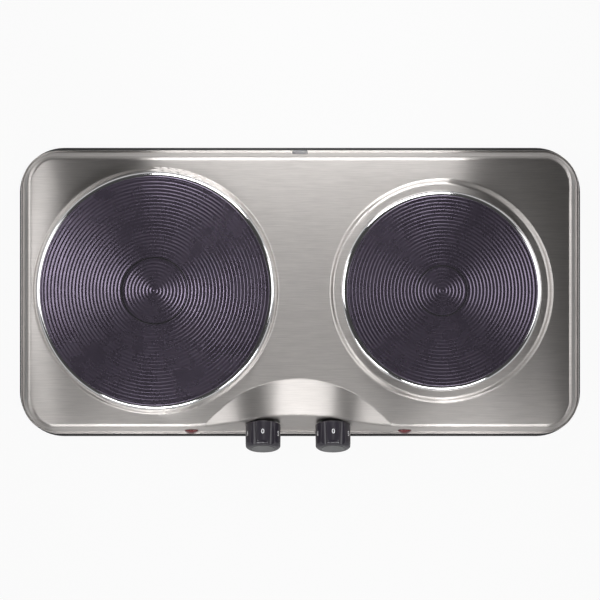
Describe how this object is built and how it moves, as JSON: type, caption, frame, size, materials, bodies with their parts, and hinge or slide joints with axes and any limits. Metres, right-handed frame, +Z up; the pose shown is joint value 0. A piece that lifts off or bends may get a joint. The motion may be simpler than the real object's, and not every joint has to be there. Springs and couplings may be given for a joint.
{
  "type": "double electric hot plate",
  "caption": "Low steel countertop hot plate: a large and a small cast iron plate on raised collars, with fluted turning knobs under a scooped front edge.",
  "frame": {"origin": "middle of the whole footprint, knobs included, on the surface it stands on", "axes": "+Z up, +X to the right along the body, -Y to the front with the knobs"},
  "size_m": [0.4682, 0.2528, 0.0672],
  "materials": {
    "body_steel": "brushed along the length",
    "tray_paint": "satin",
    "cast_iron": "turned, black coated",
    "bright_trim": "polished",
    "knob_black": "satin",
    "cap_grey": "satin",
    "lens_red": "clear gloss",
    "gland_rubber": "matt",
    "foot_rubber": "matt",
    "zinc_steel": "zinc plated",
    "shield_sheet": "mill finish",
    "element_cement": "matt cement",
    "ceramic": "matt ceramic",
    "thermostat_case": "matt",
    "lamp_holder": "matt",
    "insert_brass": "plain"
  },
  "bodies": {
    "housing": {"top_shell": "body_steel", "base_tray": "tray_paint", "large_plate": "cast_iron", "small_plate": "cast_iron", "large_trim_ring": "bright_trim", "small_trim_ring": "bright_trim", "left_lamp_lens": "lens_red", "right_lamp_lens": "lens_red", "cord_gland": "gland_rubber", "foot_front_left": "foot_rubber", "foot_front_right": "foot_rubber", "foot_back_left": "foot_rubber", "foot_back_right": "foot_rubber", "foot_screws": "zinc_steel", "tray_screws": "zinc_steel", "shell_tabs": "zinc_steel", "clamp_washers": "zinc_steel", "clamp_nuts": "zinc_steel", "thermostat_screws": "zinc_steel", "large_clamp_bar": "zinc_steel", "small_clamp_bar": "zinc_steel", "large_stud": "zinc_steel", "small_stud": "zinc_steel", "large_terminals": "zinc_steel", "small_terminals": "zinc_steel", "left_thermostat_tabs": "zinc_steel", "right_thermostat_tabs": "zinc_steel", "terminal_screws": "zinc_steel", "large_heat_shield": "shield_sheet", "small_heat_shield": "shield_sheet", "large_element": "element_cement", "small_element": "element_cement", "large_beads": "ceramic", "small_beads": "ceramic", "terminal_block": "ceramic", "left_thermostat": "thermostat_case", "right_thermostat": "thermostat_case", "left_lamp_holder": "lamp_holder", "right_lamp_holder": "lamp_holder", "terminal_inserts": "insert_brass"},
    "left_dial": {"left_knob": "knob_black", "left_knob_cap": "cap_grey", "left_spindle": "zinc_steel"},
    "right_dial": {"right_knob": "knob_black", "right_knob_cap": "cap_grey", "right_spindle": "zinc_steel"}
  },
  "joints": [
    {"name": "left_dial_turn", "type": "hinge", "parent": "housing", "child": "left_dial", "pos_m": [-0.03025, -0.10171, 0.032], "axis": [0, 0.9327, -0.3608], "range_deg": [0, 300]},
    {"name": "right_dial_turn", "type": "hinge", "parent": "housing", "child": "right_dial", "pos_m": [0.02705, -0.10171, 0.032], "axis": [0, 0.9327, -0.3608], "range_deg": [0, 300]}
  ]
}
